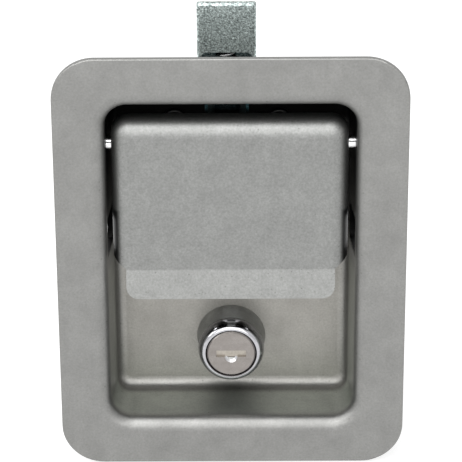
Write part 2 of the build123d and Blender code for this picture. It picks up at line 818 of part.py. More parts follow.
# ---------------------------------------------------------------- plug face
with BuildPart() as plug_cap:
    with BuildSketch(at_depth(cap_back)):
        with Locations((lock_x, lock_z)):
            Circle(plug_head_radius)
    extrude(amount=cap_thickness)
    chamfer(plug_cap.faces().sort_by(Axis.Y)[0].edges(), cap_chamfer)
    with BuildSketch(at_depth(lock_face)):
        with Locations((lock_x, lock_z)):
            Rectangle(key_slot_width, key_slot_height)
    extrude(amount=-cap_thickness, mode=Mode.SUBTRACT)
    with BuildSketch(at_depth(lock_face)):
        with Locations((lock_x, lock_z - dimple_drop)):
            Circle(dimple_radius)
    extrude(amount=-cap_thickness, taper=45, mode=Mode.SUBTRACT)

plug_cap.part.label = "plug_cap"
export_step(plug_cap.part, "parts/plug_cap.step")

# ---------------------------------------------------------------- dust flap and its pin
with BuildPart() as key_shutter:
    with BuildSketch(at_depth(shutter_y)):
        with Locations((lock_x, lock_z + shutter_pin_z - shutter_length / 2)):
            Rectangle(key_slot_width + 2 * shutter_lap, shutter_length)
    extrude(amount=-shutter_thickness)
    with BuildSketch(Plane.YZ.offset(lock_x)):
        with Locations((shutter_pin_y, lock_z + shutter_pin_z)):
            Circle(shutter_thickness)
    extrude(amount=key_slot_width / 2 + shutter_lap, both=True)
    with BuildSketch(Plane.YZ.offset(lock_x)):
        with Locations((shutter_pin_y, lock_z + shutter_pin_z)):
            Circle(shutter_pin_radius + running_gap)
    extrude(amount=key_slot_width / 2 + shutter_lap, both=True, mode=Mode.SUBTRACT)

key_shutter.part.label = "key_shutter"
export_step(key_shutter.part, "parts/key_shutter.step")

with BuildPart() as shutter_pin:
    with BuildSketch(Plane.YZ.offset(lock_x)):
        with Locations((shutter_pin_y, lock_z + shutter_pin_z)):
            Circle(shutter_pin_radius)
    extrude(amount=key_slot_width / 2 + shutter_hinge_lap - wafer_clear, both=True)

shutter_pin.part.label = "shutter_pin"
export_step(shutter_pin.part, "parts/shutter_pin.step")

# ---------------------------------------------------------------- wafers and their springs
with BuildPart() as wafers:
    for number in range(wafer_count):
        wafer_y = first_wafer + number * wafer_pitch
        with BuildSketch(at_depth(wafer_y - wafer_thickness / 2)):
            with Locations((lock_x, lock_z)):
                Rectangle(2 * plug_radius, wafer_height)
                Circle(plug_radius - wafer_clear, mode=Mode.INTERSECT)
            with Locations((lock_x + wafer_ear_x, lock_z + wafer_height / 2)):
                Rectangle(wafer_ear_length, wafer_ear_height, align=(Align.MIN, Align.MIN))
            with Locations((lock_x, lock_z)):
                Rectangle(key_blade_width, key_blade_height, mode=Mode.SUBTRACT)
        extrude(amount=-wafer_thickness)

wafers.part.label = "wafers"
export_step(wafers.part, "parts/wafers.step")

with BuildPart() as wafer_springs:
    for number in range(wafer_count):
        with BuildSketch(Plane.YZ.offset(lock_x + wafer_spring_start)):
            with Locations((first_wafer + number * wafer_pitch, wafer_spring_z)):
                Circle(wafer_spring_radius)
                Circle(wafer_spring_radius / 2, mode=Mode.SUBTRACT)
        extrude(amount=wafer_ear_x - wafer_spring_start)

wafer_springs.part.label = "wafer_springs"
export_step(wafer_springs.part, "parts/wafer_springs.step")

# ---------------------------------------------------------------- washer and nut behind the pan
with BuildPart() as lock_washer:
    washer_radius = shank_radius + washer_rim
    with BuildSketch(at_depth(floor_back)):
        with Locations((lock_x, lock_z)):
            Circle(washer_radius)
            Circle(shank_radius + washer_bore_gap, mode=Mode.SUBTRACT)
            with PolarLocations(washer_radius, washer_teeth):
                Rectangle(washer_notch_depth, washer_notch_width, mode=Mode.SUBTRACT)
    extrude(amount=-washer_thickness)

lock_washer.part.label = "lock_washer"
export_step(lock_washer.part, "parts/lock_washer.step")

with BuildPart() as lock_nut:
    with BuildSketch(at_depth(floor_back + washer_thickness)):
        with Locations((lock_x, lock_z)):
            RegularPolygon(nut_across_flats / 2, 6, major_radius=False)
            Circle(shank_radius + plug_gap, mode=Mode.SUBTRACT)
    extrude(amount=-nut_thickness)
    with BuildSketch(at_depth(floor_back + washer_thickness)):
        with Locations((lock_x, lock_z)):
            Circle(nut_across_flats / 2 + nut_corner)
    extrude(amount=-nut_thickness, mode=Mode.INTERSECT)

lock_nut.part.label = "lock_nut"
export_step(lock_nut.part, "parts/lock_nut.step")

# ---------------------------------------------------------------- stop washer
with BuildPart() as stop_washer:
    with BuildSketch(Plane(at_depth(shank_end + cam_seat).location * Location((lock_x, lock_z)))):
        Circle(lug_outer)
        with BuildSketch(mode=Mode.SUBTRACT):
            Circle(2 * lug_outer)
            Circle(lug_inner - stop_gap, mode=Mode.SUBTRACT)
            notch_start = -90 - stop_lug_angle / 2 - key_turn - stop_margin
            with BuildLine():
                start_angle = radians(notch_start)
                middle_angle = radians(notch_start + (key_turn + stop_lug_angle) / 2 + stop_margin)
                end_angle = radians(notch_start + key_turn + stop_lug_angle + 2 * stop_margin)
                reach = 4 * lug_outer
                Polyline(
                    (0, 0),
                    (reach * cos(start_angle), reach * sin(start_angle)),
                    (reach * cos(middle_angle), reach * sin(middle_angle)),
                    (reach * cos(end_angle), reach * sin(end_angle)),
                    close=True,
                )
            make_face(mode=Mode.INTERSECT)
        Rectangle(tail_square + 2 * plug_gap, tail_square + 2 * plug_gap, mode=Mode.SUBTRACT)
    extrude(amount=-washer_thickness)

stop_washer.part.label = "stop_washer"
export_step(stop_washer.part, "parts/stop_washer.step")

# ---------------------------------------------------------------- cam, washer and screw
with BuildPart() as lock_cam:
    with BuildSketch(at_depth(cam_front)):
        with Locations((lock_x, lock_z)):
            Circle(cam_hub_radius)
        with Locations((lock_x + cam_reach - cam_tip_radius, lock_z)):
            Circle(cam_tip_radius)
        make_hull()
        with Locations((lock_x, lock_z)):
            Rectangle(tail_square + 2 * plug_gap, tail_square + 2 * plug_gap, mode=Mode.SUBTRACT)
    extrude(amount=-cam_thickness)

lock_cam.part.label = "lock_cam"
export_step(lock_cam.part, "parts/lock_cam.step")

with BuildPart() as cam_washer:
    with BuildSketch(at_depth(cam_back)):
        with Locations((lock_x, lock_z)):
            Circle(2 * screw_radius + cam_washer_rim)
            Circle(screw_radius + cam_washer_gap, mode=Mode.SUBTRACT)
        with Locations((lock_x, lock_z + 1.6 * screw_radius)):
            Rectangle(cam_washer_slit, 2 * screw_radius, rotation=cam_washer_twist, mode=Mode.SUBTRACT)
    extrude(amount=-washer_thickness)

cam_washer.part.label = "cam_washer"
export_step(cam_washer.part, "parts/cam_washer.step")

with BuildPart() as cam_screw:
    head_y = cam_back + washer_thickness
    with BuildSketch(at_depth(head_y)):
        with Locations((lock_x, lock_z)):
            RegularPolygon(screw_head_flats / 2, 6, major_radius=False)
    extrude(amount=-screw_head)
    with BuildSketch(at_depth(head_y)):
        with Locations((lock_x, lock_z)):
            Circle(screw_radius - plug_gap)
    extrude(amount=head_y - last_wafer - wafer_thickness - screw_bore_end - screw_end_gap)

cam_screw.part.label = "cam_screw"
export_step(cam_screw.part, "parts/cam_screw.step")
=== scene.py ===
"""Looks of the flush paddle latch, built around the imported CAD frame.

The CAD nodes keep their shapes and take procedural metal finishes. The two working springs, the
weld studs and the lock's bezel are modelled here in full detail and stand in for their plain CAD
solids. Lengths are metres, X to the right, Y into the door and Z up. Only the zones of a finish
are given in millimetres.
"""
import json
import logging
import math
from dataclasses import dataclass, field, replace
from enum import Enum

import bmesh
import bpy
from mathutils import Matrix, Vector


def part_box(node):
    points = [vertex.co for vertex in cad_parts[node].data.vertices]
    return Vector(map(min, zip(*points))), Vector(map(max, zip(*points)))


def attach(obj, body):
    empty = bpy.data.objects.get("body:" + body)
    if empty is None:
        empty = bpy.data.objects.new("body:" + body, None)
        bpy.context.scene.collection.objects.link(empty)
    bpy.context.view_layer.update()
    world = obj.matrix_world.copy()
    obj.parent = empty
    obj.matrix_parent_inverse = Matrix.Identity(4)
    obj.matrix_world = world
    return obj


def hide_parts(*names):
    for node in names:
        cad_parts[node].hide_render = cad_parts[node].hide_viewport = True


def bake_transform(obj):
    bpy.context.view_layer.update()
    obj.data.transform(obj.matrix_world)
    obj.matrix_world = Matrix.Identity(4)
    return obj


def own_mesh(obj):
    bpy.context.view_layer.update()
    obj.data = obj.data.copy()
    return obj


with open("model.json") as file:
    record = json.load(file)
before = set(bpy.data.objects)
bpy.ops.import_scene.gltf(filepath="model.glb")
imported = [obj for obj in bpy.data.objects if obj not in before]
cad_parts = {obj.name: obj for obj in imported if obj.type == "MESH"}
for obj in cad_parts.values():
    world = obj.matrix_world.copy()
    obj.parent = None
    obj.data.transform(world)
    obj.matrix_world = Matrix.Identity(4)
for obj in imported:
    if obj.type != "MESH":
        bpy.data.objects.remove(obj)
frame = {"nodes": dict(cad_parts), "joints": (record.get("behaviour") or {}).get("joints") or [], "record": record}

LOG = logging.getLogger("paddle_latch")
MM = 0.001
FULL_TURN = 2 * math.pi
RIGHT = Vector((1, 0, 0))
INWARD = Vector((0, 1, 0))
UP = Vector((0, 0, 1))

Socket = bpy.types.NodeSocket
Triple = tuple[float, float, float]
Span = tuple[float, float]


class Body(Enum):
    """Rigid bodies that the modelled pieces ride on."""

    FRAME = "frame"
    PADDLE = "pull_paddle"


class Grain(Enum):
    """Direction in which a surface was rolled or brushed, as the stretch of its streaks."""

    ALONG_X = (0.12, 1.0, 1.0)
    ALONG_Z = (1.0, 1.0, 0.12)
    EVEN = (1.0, 1.0, 1.0)


class PaintedGain(Enum):
    """Painted light or painted shade in a zone, as the gain of red, green and blue."""

    LIT_FLOOR = (1.22, 1.19, 1.14)
    LIT_BOTTOM = (1.34, 1.41, 1.35)
    LIT_LEFT = (1.25, 1.28, 1.22)
    LIT_RIGHT = (1.35, 1.40, 1.32)
    LIT_TAB = (1.08, 1.08, 1.08)
    SHADED_FLANK = (0.15, 0.15, 0.15)
    SHADED_SIDE = (0.12, 0.12, 0.12)
    SHADED_TOP = (0.08, 0.08, 0.08)
    SHADED_SLOT = (0.05, 0.05, 0.05)
    SHADED_BOLT = (0.04, 0.04, 0.04)


class Finish(Enum):
    """Finishes of the latch."""

    PAN_SHEET = "zinc_sheet_pan"
    PADDLE_SHEET = "zinc_sheet_paddle"
    SMALL_SHEET = "zinc_sheet_small"
    SINTERED_BOLT = "sintered_zinc"
    SPRING_WIRE = "spring_wire"
    BRIGHT_PIN = "bright_pin"
    BRIGHT_PLATE = "bright_plate"
    SHADED_RIVET = "oiled_rivet"
    LOCK_BARREL = "lock_barrel"
    BEZEL_CHROME = "bright_chrome"
    PLUG_FACE = "plug_face"
    FLAP_STEEL = "flap_steel"
    WAFER_BRASS = "wafer_brass"


# ------------------------------------------------------------------ shader node groups
@dataclass
class Graph:
    """A node tree with short ways to add and join its nodes."""

    # Places of the two colours and of their mixture among the sockets of a Mix node.
    MIX_LOW = 6
    MIX_HIGH = 7
    MIX_RESULT = 2

    tree: bpy.types.NodeTree

    def feed(self, target: Socket, value: object) -> None:
        """Give an input a link or a plain value.

        Args:
            target: Input that is fed.
            value: Output of another node, or a plain value.
        """
        if isinstance(value, Socket):
            self.tree.links.new(value, target)
        else:
            target.default_value = value

    def node(
        self, kind: str, inputs: dict[str | int, object] | None = None, **attributes: object
    ) -> bpy.types.Node:
        """Add a node.

        Args:
            kind: Node type name.
            inputs: What feeds its inputs, by name or place.
            **attributes: Attributes of the node.

        Returns:
            The new node.
        """
        node = self.tree.nodes.new(kind)
        for label, value in attributes.items():
            setattr(node, label, value)
        for label, value in (inputs or {}).items():
            self.feed(node.inputs[label], value)
        return node

    def effect(
        self, group: "NodeGroup", inputs: dict[str | int, object]
    ) -> bpy.types.bpy_prop_collection:
        """Use a shared node group and give its outputs."""
        return self.node("ShaderNodeGroup", inputs, node_tree=group.tree).outputs

    def math(self, operation: str, first: object, second: object = 0.0) -> Socket:
        """Work out one number from one or two."""
        return self.node("ShaderNodeMath", {0: first, 1: second}, operation=operation).outputs[0]

    def vector(self, operation: str, first: object, second: object = (0.0, 0.0, 0.0)) -> Socket:
        """Work out one vector from one or two."""
        node = self.node("ShaderNodeVectorMath", {0: first, 1: second}, operation=operation)
        return node.outputs["Vector"]

    def measure(self, operation: str, first: object, second: object = (0.0, 0.0, 0.0)) -> Socket:
        """Work out one number from one or two vectors."""
        node = self.node("ShaderNodeVectorMath", {0: first, 1: second}, operation=operation)
        return node.outputs["Value"]

    def split(self, vector: Socket) -> bpy.types.bpy_prop_collection:
        """Take a vector apart into its X, Y and Z."""
        return self.node("ShaderNodeSeparateXYZ", {"Vector": vector}).outputs

    def centre(self, place: Socket, point: Vector) -> Socket:
        """Shift coordinates so that they start at a point."""
        node = self.node("ShaderNodeMapping", {"Vector": place, "Location": -point})
        return node.outputs["Vector"]

    def noise(
        self, place: Socket, scale: object, detail: float, roughness: float, distortion: float = 0.0
    ) -> Socket:
        """Add cloudy noise around 0.5.

        Args:
            place: Coordinates.
            scale: Clouds in a metre, as a socket or a number.
            detail: Octaves.
            roughness: Share that each octave keeps.
            distortion: Swirl of the clouds.

        Returns:
            The noise.
        """
        return self.node("ShaderNodeTexNoise", {
            "Vector": place, "Scale": scale, "Detail": detail, "Roughness": roughness,
            "Distortion": distortion,
        }).outputs["Fac"]

    def ramp(
        self, value: Socket, start: object, end: object, low: float = 0.0, high: float = 1.0,
        **attributes: object,
    ) -> Socket:
        """Turn one range of values into another.

        Args:
            value: Value to turn.
            start: Value that gives the low result.
            end: Value that gives the high result.
            low: Result at the start.
            high: Result at the end.
            **attributes: Attributes of the node.

        Returns:
            The result.
        """
        return self.node("ShaderNodeMapRange", {
            "Value": value, "From Min": start, "From Max": end, "To Min": low, "To Max": high,
        }, **attributes).outputs["Result"]

    def fade(
        self, value: Socket, start: object, end: object, low: float = 0.0, high: float = 1.0
    ) -> Socket:
        """Turn one range of values into another, softly at both ends."""
        return self.ramp(value, start, end, low, high, interpolation_type="SMOOTHSTEP")

    def mix(self, mask: Socket, low: object, high: object) -> Socket:
        """Mix two colours, each a socket or a plain value, by a mask.

        Args:
            mask: Socket that is 0 for the low colour and 1 for the high one.
            low: Colour where the mask is 0.
            high: Colour where the mask is 1.

        Returns:
            The mixed colour.
        """
        node = self.node("ShaderNodeMix", {"Factor": mask}, data_type="RGBA")
        for at, colour in ((self.MIX_LOW, low), (self.MIX_HIGH, high)):
            plain = not isinstance(colour, Socket)
            self.feed(node.inputs[at], (*colour, 1.0) if plain else colour)
        return node.outputs[self.MIX_RESULT]


@dataclass
class NodeGroup(Graph):
    """A shader node group with named inputs and outputs, built once and shared."""

    tree: bpy.types.NodeTree = field(init=False)
    name: str
    inputs: dict[str, float | None]
    outputs: tuple[str, ...]
    start: bpy.types.bpy_prop_collection = field(init=False)
    end: bpy.types.bpy_prop_collection = field(init=False)

    def __post_init__(self) -> None:
        """Make the tree, its sockets and its end nodes; an input without a number is a vector."""
        self.tree = bpy.data.node_groups.new(self.name, "ShaderNodeTree")
        for label, default in self.inputs.items():
            kind = "NodeSocketVector" if default is None else "NodeSocketFloat"
            socket = self.tree.interface.new_socket(label, in_out="INPUT", socket_type=kind)
            if default is not None:
                socket.default_value = default
        for label in self.outputs:
            self.tree.interface.new_socket(label, in_out="OUTPUT", socket_type="NodeSocketFloat")
        self.start = self.node("NodeGroupInput").outputs
        self.end = self.node("NodeGroupOutput").inputs


def build_patina(streak_scale: float = 420.0) -> NodeGroup:
    """Build the group for soft plating patches and rolling streaks.

    Args:
        streak_scale: Streaks in a metre across the rolling direction.

    Returns:
        A group that puts out one value around 0.5.
    """
    inputs = {
        "Coordinates": None, "Patch Scale": 90.0, "Streak Stretch": None, "Streak Share": 0.35
    }
    group = NodeGroup("plating_patina", inputs, ("Value",))
    place = group.start["Coordinates"]
    patches = group.noise(
        place, group.start["Patch Scale"], detail=5.0, roughness=0.62, distortion=0.4
    )
    stretched = group.vector("MULTIPLY", place, group.start["Streak Stretch"])
    streaks = group.noise(stretched, streak_scale, detail=3.0, roughness=0.5)
    blend = group.node(
        "ShaderNodeMix", {"Factor": group.start["Streak Share"], "A": patches, "B": streaks},
        data_type="FLOAT",
    )
    group.feed(group.end["Value"], blend.outputs["Result"])
    return group


def build_grain(pit_core: float = 0.12, pit_rim: float = 0.36) -> NodeGroup:
    """Build the group for the fine grain of plated metal, with scattered pits.

    Args:
        pit_core: Radius of a pit's flat middle, as a share of its cell.
        pit_rim: Radius of its rim, as a share of its cell.

    Returns:
        A group that puts out a height for bump, the grain around 0.5 and a mask of the pits.
    """
    inputs = {"Coordinates": None, "Grain Scale": 1600.0, "Pit Scale": 700.0, "Pit Share": 0.1}
    group = NodeGroup("metal_grain", inputs, ("Height", "Grain", "Pits"))
    place = group.start["Coordinates"]
    grain = group.noise(place, group.start["Grain Scale"], detail=2.0, roughness=0.6)
    cells = group.node(
        "ShaderNodeTexVoronoi", {"Vector": place, "Scale": group.start["Pit Scale"]}, feature="F1"
    )
    near = group.fade(cells.outputs["Distance"], pit_core, pit_rim, 1.0, 0.0)
    draw = group.node("ShaderNodeSeparateColor", {"Color": cells.outputs["Color"]}).outputs
    chosen = group.math("LESS_THAN", draw["Red"], group.start["Pit Share"])
    pits = group.math("MULTIPLY", group.math("MULTIPLY", chosen, draw["Green"]), near)
    group.feed(group.end["Height"], group.math("SUBTRACT", grain, pits))
    group.feed(group.end["Grain"], grain)
    group.feed(group.end["Pits"], pits)
    return group


def build_gap_shade() -> NodeGroup:
    """Build the group for painted shade, which darkens the colour in narrow gaps and pockets by ambient occlusion.

    Returns:
        A group that puts out 1 on open faces and 0 deep in a gap.
    """
    group = NodeGroup("painted_gap_shade", {"Reach": 0.02, "Closed": 0.1, "Open": 0.4}, ("Unshaded",))
    room = group.node(
        "ShaderNodeAmbientOcclusion", {"Distance": group.start["Reach"]}, samples=8
    ).outputs["AO"]
    # Painted shade: the more a face is occluded, the lower this mask, and the darker its colour is painted.
    unshaded = group.fade(room, group.start["Closed"], group.start["Open"])
    group.feed(group.end["Unshaded"], unshaded)
    return group


@dataclass
class Groups:
    """The shared effects of every finish."""

    patina: NodeGroup = field(default_factory=build_patina)
    grain: NodeGroup = field(default_factory=build_grain)
    film: NodeGroup = field(default_factory=build_gap_shade)


def clear_graph(owner: bpy.types.Material | bpy.types.World) -> Graph:
    """Switch on the nodes of a material or world and clear them.

    Args:
        owner: Material or world.

    Returns:
        Its empty node tree.
    """
    owner.use_nodes = True
    owner.node_tree.nodes.clear()
    return Graph(owner.node_tree)


# ------------------------------------------------------------------ kinds of finish
@dataclass(frozen=True)
class Metal:
    """A plated or bare metal finish with patches, streaks, fine grain, pits and painted shade in gaps."""

    name: Finish
    slot: str
    dark: Triple
    light: Triple
    rough: float
    rough_spread: float = 0.08
    patch_scale: float = 90.0
    streak: Grain = Grain.EVEN
    streak_share: float = 0.3
    contrast: float = 0.5
    grain_scale: float = 1600.0
    speckle: float = 0.1
    speckle_span: Span = (0.25, 0.75)
    pit_scale: float = 700.0
    pit_share: float = 0.1
    pit_colour: Triple = (0.3, 0.3, 0.3)
    bump: float = 0.04
    bump_depth: float = 0.1 * MM
    # Painted shade in gaps: how far the occlusion looks, the range from fully shaded to open, and the dark colour
    # painted into narrow gaps and pockets.
    shade_reach: float = 20 * MM
    shade_closed: float = 0.05
    shade_open: float = 0.3
    shade_colour: Triple = (0.03, 0.034, 0.034)

    def build(self, groups: Groups) -> bpy.types.Material:
        """Build the finish.

        Args:
            groups: Shared shader node groups.

        Returns:
            The finished material.
        """
        material = bpy.data.materials.new(self.name.value)
        graph = clear_graph(material)
        place = graph.node("ShaderNodeTexCoord").outputs["Object"]
        patina = graph.effect(groups.patina, {
            "Coordinates": place, "Patch Scale": self.patch_scale,
            "Streak Stretch": self.streak.value, "Streak Share": self.streak_share,
        })
        grain = graph.effect(groups.grain, {
            "Coordinates": place, "Grain Scale": self.grain_scale,
            "Pit Scale": self.pit_scale, "Pit Share": self.pit_share,
        })
        film = graph.effect(groups.film, {
            "Reach": self.shade_reach, "Closed": self.shade_closed, "Open": self.shade_open,
        })

        half = 0.5 * (1.0 - self.contrast)
        level = graph.ramp(patina["Value"], 0.5 - half, 0.5 + half)
        plated = graph.mix(level, self.dark, self.light)
        shade = graph.ramp(
            grain["Grain"], *self.speckle_span, 1.0 - self.speckle, 1.0 + self.speckle, clamp=False
        )
        speckled = graph.node(
            "ShaderNodeVectorMath", {0: plated, "Scale": shade}, operation="SCALE"
        ).outputs["Vector"]
        pitted = graph.mix(grain["Pits"], speckled, self.pit_colour)
        # Painted shade: occluded gaps and pockets take the dark colour.
        gap_shaded = graph.mix(film["Unshaded"], self.shade_colour, pitted)
        bump = graph.node("ShaderNodeBump", {
            "Strength": self.bump, "Distance": self.bump_depth, "Height": grain["Height"],
        }).outputs["Normal"]
        shader = graph.node("ShaderNodeBsdfPrincipled", {
            "Metallic": 1.0,
            "Base Color": self.tint(graph, place, gap_shaded),
            "Roughness": graph.ramp(
                level, 0.0, 1.0, self.rough + self.rough_spread, self.rough - self.rough_spread
            ),
            "Normal": self.relief(graph, place, bump),
        })
        graph.node("ShaderNodeOutputMaterial", {"Surface": shader.outputs["BSDF"]})
        return material

    def tint(self, graph: Graph, place: Socket, colour: Socket) -> Socket:
        """Leave the colour as it is; a finish with a local change overrides this."""
        return colour

    def relief(self, graph: Graph, place: Socket, normal: Socket) -> Socket:
        """Leave the normal as it is; a finish with a worked relief overrides this."""
        return normal


@dataclass(frozen=True)
class Zone:
    """A box of a piece, in millimetres, whose colour is brightened as painted light or darkened as painted shade.
    """

    across: Span
    deep: Span
    tall: Span
    light_gain: PaintedGain
    soft: float = 2.0

    def corners(self) -> tuple[Vector, Vector]:
        """Give the lowest and the highest corner, in metres."""
        low, high = zip(self.across, self.deep, self.tall)
        return Vector(low) * MM, Vector(high) * MM

    def both_sides(self) -> tuple["Zone", "Zone"]:
        """Give the zone and its mirror image on the other side."""
        start, end = self.across
        return self, replace(self, across=(-end, -start))


@dataclass(frozen=True)
class Zoned(Metal):
    """A plated finish with zones of painted light and painted shade on the faces turned to a point."""

    zones: tuple[Zone, ...] = ()
    toward: Triple = (0.0, -1.0, 0.05)
    turn_soft: float = 2 * MM

    def facing(self, graph: Graph, place: Socket) -> Socket:
        """Find the faces that are turned away from the point.

        Args:
            graph: Node tree of the finish.
            place: Object coordinates.

        Returns:
            A mask that is 0 on faces turned to the point and 1 on the others.
        """
        sight = graph.vector("SUBTRACT", self.toward, place)
        normal = graph.node("ShaderNodeTexCoord").outputs["Normal"]
        turned = graph.measure("DOT_PRODUCT", sight, normal)
        return graph.ramp(turned, 0.0, self.turn_soft, 1.0, 0.0)

    def tint(self, graph: Graph, place: Socket, colour: Socket) -> Socket:
        """Paint light or shade inside each zone by scaling the colour.

        Args:
            graph: Node tree of the finish.
            place: Object coordinates.
            colour: Colour outside the zones.

        Returns:
            Colour with every zone laid over it.
        """
        hidden = self.facing(graph, place)
        for zone in self.zones:
            low, high = zone.corners()
            size = graph.vector("ABSOLUTE", graph.centre(place, (low + high) / 2))
            outside = graph.split(graph.vector("SUBTRACT", size, (high - low) / 2))
            sideways = graph.math("MAXIMUM", outside["X"], outside["Y"])
            farthest = graph.math("MAXIMUM", sideways, outside["Z"])
            away = graph.fade(farthest, -zone.soft * MM, zone.soft * MM)
            # Painted light or painted shade: the colour scaled by the zone's gain.
            zone_painted = graph.vector("MULTIPLY", colour, zone.light_gain.value)
            colour = graph.mix(graph.math("MAXIMUM", away, hidden), zone_painted, colour)
        return colour


@dataclass(frozen=True)
class ShadedSideRim(Metal):
    """A bright turned rim whose side, behind the front edge, is darkened as a painted dark reflection."""

    # Painted dark reflection: the colour of the rim's side.
    side_shade_colour: Triple = (0.062, 0.062, 0.065)
    side_from: float = 0.0
    side_to: float = 1 * MM

    def tint(self, graph: Graph, place: Socket, colour: Socket) -> Socket:
        """Paint the rim's side dark by depth, as a painted dark reflection.

        Args:
            graph: Node tree of the finish.
            place: Object coordinates.
            colour: Colour of the bright front edge.

        Returns:
            Colour that turns to the side's behind the front edge.
        """
        mask = graph.fade(graph.split(place)["Y"], self.side_from, self.side_to)
        return graph.mix(mask, colour, self.side_shade_colour)


@dataclass(frozen=True)
class HighlitDimple(Metal):
    """A satin face with a round dimple painted bright as a highlight."""

    # Painted highlight: the dimple's bright colour.
    dimple_highlight: Triple = (0.62, 0.62, 0.63)
    dimple_at: Triple = (0.0, 0.0, 0.0)
    dimple_radius: float = 2 * MM
    dimple_edge: Span = (0.94, 1.02)

    def tint(self, graph: Graph, place: Socket, colour: Socket) -> Socket:
        """Paint the dimple bright, as a painted highlight.

        Args:
            graph: Node tree of the finish.
            place: Object coordinates.
            colour: Colour of the face.

        Returns:
            Colour that turns bright inside the dimple.
        """
        centred = graph.centre(place, Vector(self.dimple_at))
        away = graph.measure("LENGTH", graph.vector("MULTIPLY", centred, (1.0, 0.0, 1.0)))
        inner, outer = (share * self.dimple_radius for share in self.dimple_edge)
        return graph.mix(graph.fade(away, inner, outer), self.dimple_highlight, colour)


@dataclass(frozen=True)
class Threaded(Metal):
    """A casting whose barrel carries a screw thread between its two flats."""

    thread_axis: Triple = (0.0, 0.0, 0.0)
    thread_from: float = 25 * MM
    thread_pitch: float = 1.27 * MM
    flat_at: float = 7.9 * MM
    thread_depth: float = 0.6 * MM

    def relief(self, graph: Graph, place: Socket, normal: Socket) -> Socket:
        """Wind the thread's ridges round the barrel as bump.

        Args:
            graph: Node tree of the finish.
            place: Object coordinates.
            normal: Normal of the plain casting.

        Returns:
            Normal with the thread's flanks in it.
        """
        parts = graph.split(graph.centre(place, Vector(self.thread_axis)))
        turn = graph.math("ARCTAN2", parts["X"], parts["Z"])
        share = graph.math("DIVIDE", turn, FULL_TURN)
        along = graph.math("DIVIDE", parts["Y"], self.thread_pitch)
        phase = graph.math("FRACT", graph.math("ADD", along, share))
        ridge = graph.math("PINGPONG", phase, 0.5)
        behind = graph.math("GREATER_THAN", parts["Y"], self.thread_from)
        curved = graph.math("LESS_THAN", graph.math("ABSOLUTE", parts["X"]), self.flat_at)
        height = graph.math("MULTIPLY", graph.math("MULTIPLY", ridge, behind), curved)
        return graph.node("ShaderNodeBump", {
            "Distance": 2 * self.thread_depth, "Height": height, "Normal": normal,
        }).outputs["Normal"]


# ------------------------------------------------------------------ the latch's finishes
# Zones of painted light, which brighten the recess floor, its bottom and side walls and the paddle's tab, and of
# painted shade, which darken the side and top gaps, the clip slots, the paddle's flanks, the bolt's foot and the
# rivet heads.
PAN_FLOOR = Zone((-36.5, 36.5), (18.0, 26.0), (-53.0, 30.0), PaintedGain.LIT_FLOOR, soft=3.0)
PAN_BOTTOM_WALL = Zone((-40.0, 40.0), (2.5, 18.0), (-62.0, -51.0), PaintedGain.LIT_BOTTOM)
PAN_LEFT_WALL = Zone((-41.0, -36.2), (3.0, 18.0), (-52.0, -4.0), PaintedGain.LIT_LEFT)
PAN_RIGHT_WALL = Zone((36.2, 41.0), (3.0, 18.0), (-52.0, -4.0), PaintedGain.LIT_RIGHT)
PAN_SIDE_GAP = Zone((-42.0, -37.2), (3.5, 30.0), (6.0, 58.0), PaintedGain.SHADED_SIDE, soft=3.0)
PAN_TOP_GAP = Zone((-40.0, 40.0), (3.5, 30.0), (40.0, 62.0), PaintedGain.SHADED_TOP, soft=2.5)
PAN_CLIP_SLOT = Zone((-43.0, -36.5), (3.0, 19.0), (1.0, 15.0), PaintedGain.SHADED_SLOT, soft=0.6)
PADDLE_FLANK = Zone((-37.5, -35.0), (1.6, 30.0), (-2.0, 18.0), PaintedGain.SHADED_FLANK, soft=0.8)
PADDLE_TAB = Zone((-38.0, 38.0), (-6.0, 4.0), (-14.0, -2.0), PaintedGain.LIT_TAB, soft=0.3)
BOLT_FOOT = Zone((-60.0, 60.0), (0.0, 30.0), (30.0, 59.0), PaintedGain.SHADED_BOLT, soft=0.8)
RIVET_HEADS = Zone((-60.0, 60.0), (-10.0, 24.0), (30.0, 70.0), PaintedGain.SHADED_TOP, soft=1.0)


